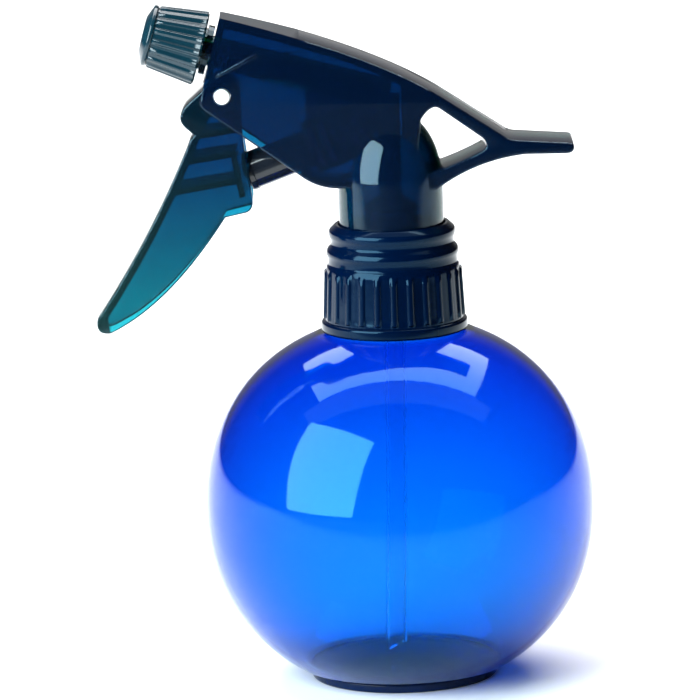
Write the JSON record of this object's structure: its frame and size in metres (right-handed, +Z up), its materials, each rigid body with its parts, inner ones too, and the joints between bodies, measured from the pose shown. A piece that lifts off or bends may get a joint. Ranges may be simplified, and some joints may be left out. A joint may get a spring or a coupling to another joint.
{
  "type": "spray bottle",
  "caption": "Ball-shaped spray bottle with a trigger pump head, a screw closure, a dip tube and a turning nozzle.",
  "frame": {"origin": "centre of the foot's flat underside, on the bottle's axis", "axes": "+Z up along the bottle's axis, -X towards the nozzle and trigger, +X towards the tail, +Y across the head"},
  "size_m": [0.1135, 0.09, 0.1586],
  "materials": {
    "bottle_blue": "clear blue moulded plastic",
    "foot_navy": "dark moulded plastic",
    "head_navy": "dark translucent plastic",
    "collar_navy": "dark translucent plastic",
    "trigger_teal": "teal translucent plastic",
    "nozzle_teal": "teal translucent plastic",
    "plunger_black": "black plastic",
    "pin_white": "white plastic",
    "inner_natural": "natural plastic",
    "tube_clear": "clear tube",
    "seal_grey": "soft grey",
    "steel": "stainless steel"
  },
  "bodies": {
    "bottle": {"bottle": "bottle_blue", "base_cup": "foot_navy"},
    "gasket": {"neck_gasket": "seal_grey"},
    "head": {"intake_body": "inner_natural", "pump_body": "head_navy", "dip_tube": "tube_clear", "shroud": "head_navy", "pivot_pin": "pin_white", "swirl_insert": "inner_natural", "return_spring": "steel", "outlet_spring": "steel"},
    "collar": {"closure_collar": "collar_navy"},
    "trigger": {"trigger": "trigger_teal"},
    "piston": {"piston": "plunger_black", "pressure_seal": "seal_grey", "vent_seal": "seal_grey"},
    "nozzle_carrier": {"nozzle_seal": "seal_grey"},
    "nozzle": {"nozzle_cap": "nozzle_teal"},
    "inlet_ball": {"inlet_ball": "steel"},
    "outlet_valve": {"outlet_valve": "inner_natural"}
  },
  "joints": [
    {"name": "head_lift", "type": "slide", "parent": "bottle", "child": "gasket", "axis": [0, 0, 1], "range_m": [0, 0.1]},
    {"name": "head_rise", "type": "slide", "parent": "gasket", "child": "head", "axis": [0, 0, 1], "range_m": [0, 0.0053]},
    {"name": "collar_turn", "type": "hinge", "parent": "head", "child": "collar", "pos_m": [0, 0, 0.09], "axis": [0, 0, 1], "range_deg": [0, 450]},
    {"name": "trigger_pull", "type": "hinge", "parent": "head", "child": "trigger", "pos_m": [-0.0379, 0, 0.1381], "axis": [0, -1, 0], "range_deg": [0, 20], "stiffness_Nm_per_rad": 0.337, "springref_deg": -13.35},
    {"name": "piston_slide", "type": "slide", "parent": "head", "child": "piston", "axis": [0.9397, 0, 0.342], "range_m": [0, 0.007], "deforming": ["return_spring"]},
    {"name": "nozzle_travel", "type": "slide", "parent": "head", "child": "nozzle_carrier", "axis": [-0.9613, 0, 0.2756], "range_m": [0, 0.003]},
    {"name": "nozzle_turn", "type": "hinge", "parent": "nozzle_carrier", "child": "nozzle", "pos_m": [-0.0424, 0, 0.1482], "axis": [-0.9613, 0, 0.2756], "range_deg": [0, 450]},
    {"name": "inlet_ball_lift", "type": "slide", "parent": "head", "child": "inlet_ball", "axis": [0, 0, 1], "range_m": [0, 0.0015]},
    {"name": "outlet_valve_open", "type": "slide", "parent": "head", "child": "outlet_valve", "axis": [-0.9613, 0, 0.2756], "range_m": [0, 0.0012], "stiffness_N_per_m": 50, "springref_m": -0.002, "deforming": ["outlet_spring"]}
  ],
  "couplings": [
    {"joint": "head_rise", "follows": "collar_turn", "m_per_rad": 0.00066845},
    {"joint": "piston_slide", "follows": "trigger_pull", "m_per_rad": 0.0196},
    {"joint": "nozzle_turn", "follows": "nozzle_travel", "rad_per_m": 2618}
  ]
}
